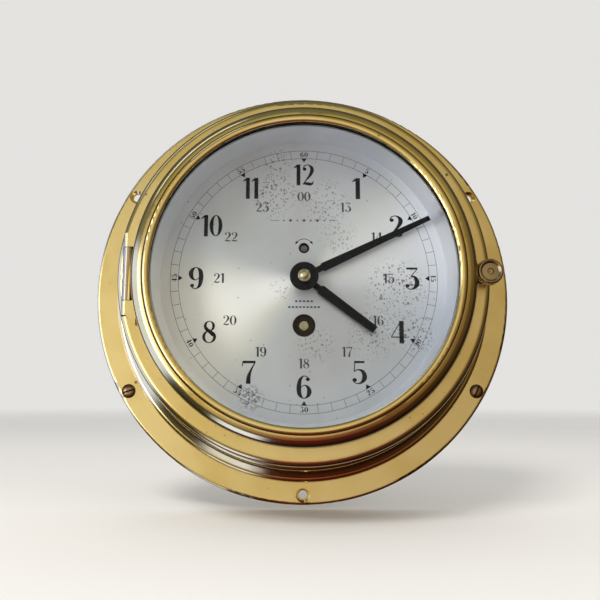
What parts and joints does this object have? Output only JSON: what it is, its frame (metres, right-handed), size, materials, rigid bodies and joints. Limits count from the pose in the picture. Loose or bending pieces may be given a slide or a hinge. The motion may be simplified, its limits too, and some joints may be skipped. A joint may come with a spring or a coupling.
{
  "type": "ship's deck clock",
  "caption": "Bulkhead clock in a turned brass case: fixing flange, hinged glazed bezel with thumb screw, silvered 24-hour dial and an eight-day lever movement.",
  "frame": {"origin": "centre of the flange's back face, on the case axis", "axes": "+Z towards 12 o'clock, -Y out of the bulkhead towards the reader, +X towards 3 o'clock"},
  "size_m": [0.205, 0.0782, 0.205],
  "materials": {
    "case_body": "polished brass, lightly tarnished",
    "back_cover": "brushed brass, darkened",
    "back_cover_screws": "brass, dull",
    "flange_screws": "brass toned dark brown",
    "hinge_knuckle": "polished brass, lightly tarnished",
    "hinge_pin": "steel",
    "dial_surround": "silvered brass, satin",
    "dial": "silvered brass, brushed, with age spots",
    "dial_screws": "blued steel",
    "dial_feet": "grained brass",
    "dial_foot_nuts": "blued steel",
    "front_plate": "grained brass",
    "back_plate": "grained brass",
    "pillars": "grained brass",
    "pillar_screws": "blued steel",
    "click_screw": "blued steel",
    "click_spring": "blued steel",
    "minute_wheel_stud": "polished steel",
    "banking_pins": "polished steel",
    "escape_cock": "grained brass",
    "balance_cock": "grained brass",
    "cock_screws": "blued steel",
    "hairspring": "blued steel",
    "bezel": "polished brass, lightly tarnished",
    "glass": "clear, bevelled edge",
    "glass_retaining_ring": "brass",
    "thumb_screw_clip": "brass",
    "thumb_screw": "polished brass, lightly tarnished",
    "minute_hand": "satin black",
    "hand_nut": "grained brass",
    "cannon_pinion": "polished steel",
    "centre_arbor": "polished steel",
    "centre_wheel": "grained brass",
    "hour_hand": "satin black",
    "hour_wheel": "grained brass",
    "minute_wheel": "grained brass",
    "barrel": "grained brass",
    "barrel_cover": "grained brass",
    "mainspring": "polished steel",
    "winding_arbor": "polished steel",
    "ratchet_wheel": "polished steel",
    "click": "polished steel",
    "intermediate_wheel": "grained brass",
    "intermediate_arbor": "polished steel",
    "third_wheel": "grained brass",
    "third_arbor": "polished steel",
    "fourth_wheel": "grained brass",
    "fourth_arbor": "polished steel",
    "escape_wheel": "polished steel",
    "escape_arbor": "polished steel",
    "lever": "polished steel",
    "lever_staff": "polished steel",
    "pallet_stones": "synthetic ruby",
    "balance_wheel": "grained brass",
    "balance_staff": "polished steel",
    "roller": "grained brass",
    "impulse_pin": "synthetic ruby",
    "hairspring_collet": "grained brass",
    "regulator_index": "polished steel",
    "regulator_arbor": "polished steel"
  },
  "bodies": {
    "case": {"case_body": "case_body", "back_cover": "back_cover", "back_cover_screws": "back_cover_screws", "flange_screws": "flange_screws", "hinge_knuckle": "hinge_knuckle", "hinge_pin": "hinge_pin", "dial_surround": "dial_surround", "dial": "dial", "dial_screws": "dial_screws", "dial_feet": "dial_feet", "dial_foot_nuts": "dial_foot_nuts", "front_plate": "front_plate", "back_plate": "back_plate", "pillars": "pillars", "pillar_screws": "pillar_screws", "click_screw": "click_screw", "click_spring": "click_spring", "minute_wheel_stud": "minute_wheel_stud", "banking_pins": "banking_pins", "escape_cock": "escape_cock", "balance_cock": "balance_cock", "cock_screws": "cock_screws", "hairspring": "hairspring"},
    "bezel": {"bezel": "bezel", "glass": "glass", "glass_retaining_ring": "glass_retaining_ring"},
    "thumb_screw_clip": {"thumb_screw_clip": "thumb_screw_clip"},
    "thumb_screw": {"thumb_screw": "thumb_screw"},
    "minute_hand": {"minute_hand": "minute_hand", "hand_nut": "hand_nut", "cannon_pinion": "cannon_pinion", "centre_arbor": "centre_arbor", "centre_wheel": "centre_wheel"},
    "hour_hand": {"hour_hand": "hour_hand", "hour_wheel": "hour_wheel"},
    "minute_wheel": {"minute_wheel": "minute_wheel"},
    "barrel": {"barrel": "barrel", "barrel_cover": "barrel_cover", "mainspring": "mainspring"},
    "winding_arbor": {"winding_arbor": "winding_arbor", "ratchet_wheel": "ratchet_wheel"},
    "click": {"click": "click"},
    "intermediate_wheel": {"intermediate_wheel": "intermediate_wheel", "intermediate_arbor": "intermediate_arbor"},
    "third_wheel": {"third_wheel": "third_wheel", "third_arbor": "third_arbor"},
    "fourth_wheel": {"fourth_wheel": "fourth_wheel", "fourth_arbor": "fourth_arbor"},
    "escape_wheel": {"escape_wheel": "escape_wheel", "escape_arbor": "escape_arbor"},
    "lever": {"lever": "lever", "lever_staff": "lever_staff", "pallet_stones": "pallet_stones"},
    "balance": {"balance_wheel": "balance_wheel", "balance_staff": "balance_staff", "roller": "roller", "impulse_pin": "impulse_pin", "hairspring_collet": "hairspring_collet"},
    "regulator_index": {"regulator_index": "regulator_index"},
    "regulator_arbor": {"regulator_arbor": "regulator_arbor"}
  },
  "joints": [
    {"name": "bezel_hinge", "type": "hinge", "parent": "case", "child": "bezel", "pos_m": [-0.075, -0.0485, 0], "axis": [0, 0, -1], "range_deg": [0, 115]},
    {"name": "clasp_slide", "type": "slide", "parent": "bezel", "child": "thumb_screw_clip", "axis": [0, -1, 0], "range_m": [0, 0.00245]},
    {"name": "clasp_turn", "type": "hinge", "parent": "thumb_screw_clip", "child": "thumb_screw", "pos_m": [0.0775, -0.053, 0.0003], "axis": [0, -1, 0], "range_deg": [0, 1260]},
    {"name": "minute_hand_turn", "type": "hinge", "parent": "case", "child": "minute_hand", "pos_m": [0, -0.02, 0], "axis": [0, 1, 0], "continuous": true},
    {"name": "hour_hand_turn", "type": "hinge", "parent": "case", "child": "hour_hand", "pos_m": [0, -0.02, 0], "axis": [0, 1, 0], "continuous": true},
    {"name": "minute_wheel_turn", "type": "hinge", "parent": "case", "child": "minute_wheel", "pos_m": [0.0072, -0.02, 0], "axis": [0, 1, 0], "continuous": true},
    {"name": "barrel_turn", "type": "hinge", "parent": "case", "child": "barrel", "pos_m": [0, -0.02, -0.0208], "axis": [0, 1, 0], "continuous": true},
    {"name": "intermediate_turn", "type": "hinge", "parent": "case", "child": "intermediate_wheel", "pos_m": [0.01367, -0.02, -0.00541], "axis": [0, 1, 0], "continuous": true},
    {"name": "third_turn", "type": "hinge", "parent": "case", "child": "third_wheel", "pos_m": [-0.01224, -0.02, 0.00571], "axis": [0, 1, 0], "continuous": true},
    {"name": "fourth_turn", "type": "hinge", "parent": "case", "child": "fourth_wheel", "pos_m": [-0.01587, -0.02, 0.01569], "axis": [0, 1, 0], "continuous": true},
    {"name": "escape_turn", "type": "hinge", "parent": "case", "child": "escape_wheel", "pos_m": [-0.01021, -0.02, 0.02243], "axis": [0, 1, 0], "continuous": true},
    {"name": "lever_swing", "type": "hinge", "parent": "case", "child": "lever", "pos_m": [-0.00493, -0.02, 0.02295], "axis": [0, 1, 0], "range_deg": [-4, 4]},
    {"name": "balance_swing", "type": "hinge", "parent": "case", "child": "balance", "pos_m": [0, -0.02, 0.02344], "axis": [0, 1, 0], "range_deg": [-120, 120]},
    {"name": "winding_turn", "type": "hinge", "parent": "case", "child": "winding_arbor", "pos_m": [0, -0.02, -0.0208], "axis": [0, 1, 0], "range_deg": [0, 1800]},
    {"name": "click_lift", "type": "hinge", "parent": "case", "child": "click", "pos_m": [-0.00353, -0.02, -0.03208], "axis": [0, -1, 0], "range_deg": [0, 8]},
    {"name": "regulator_turn", "type": "hinge", "parent": "case", "child": "regulator_arbor", "pos_m": [0, -0.02, 0.01364], "axis": [0, 1, 0], "range_deg": [-60, 60]},
    {"name": "index_turn", "type": "hinge", "parent": "case", "child": "regulator_index", "pos_m": [0, -0.02, 0.02344], "axis": [0, 1, 0], "range_deg": [-15, 15]}
  ],
  "couplings": [
    {"joint": "clasp_turn", "follows": "clasp_slide", "rad_per_m": 8976},
    {"joint": "hour_hand_turn", "follows": "minute_hand_turn", "ratio": 0.083333},
    {"joint": "minute_wheel_turn", "follows": "minute_hand_turn", "ratio": -0.33333},
    {"joint": "intermediate_turn", "follows": "minute_hand_turn", "ratio": -0.16667},
    {"joint": "barrel_turn", "follows": "minute_hand_turn", "ratio": 0.027778},
    {"joint": "third_turn", "follows": "minute_hand_turn", "ratio": -8},
    {"joint": "fourth_turn", "follows": "minute_hand_turn", "ratio": 60},
    {"joint": "escape_turn", "follows": "minute_hand_turn", "ratio": -600},
    {"joint": "index_turn", "follows": "regulator_turn", "ratio": -0.225}
  ]
}
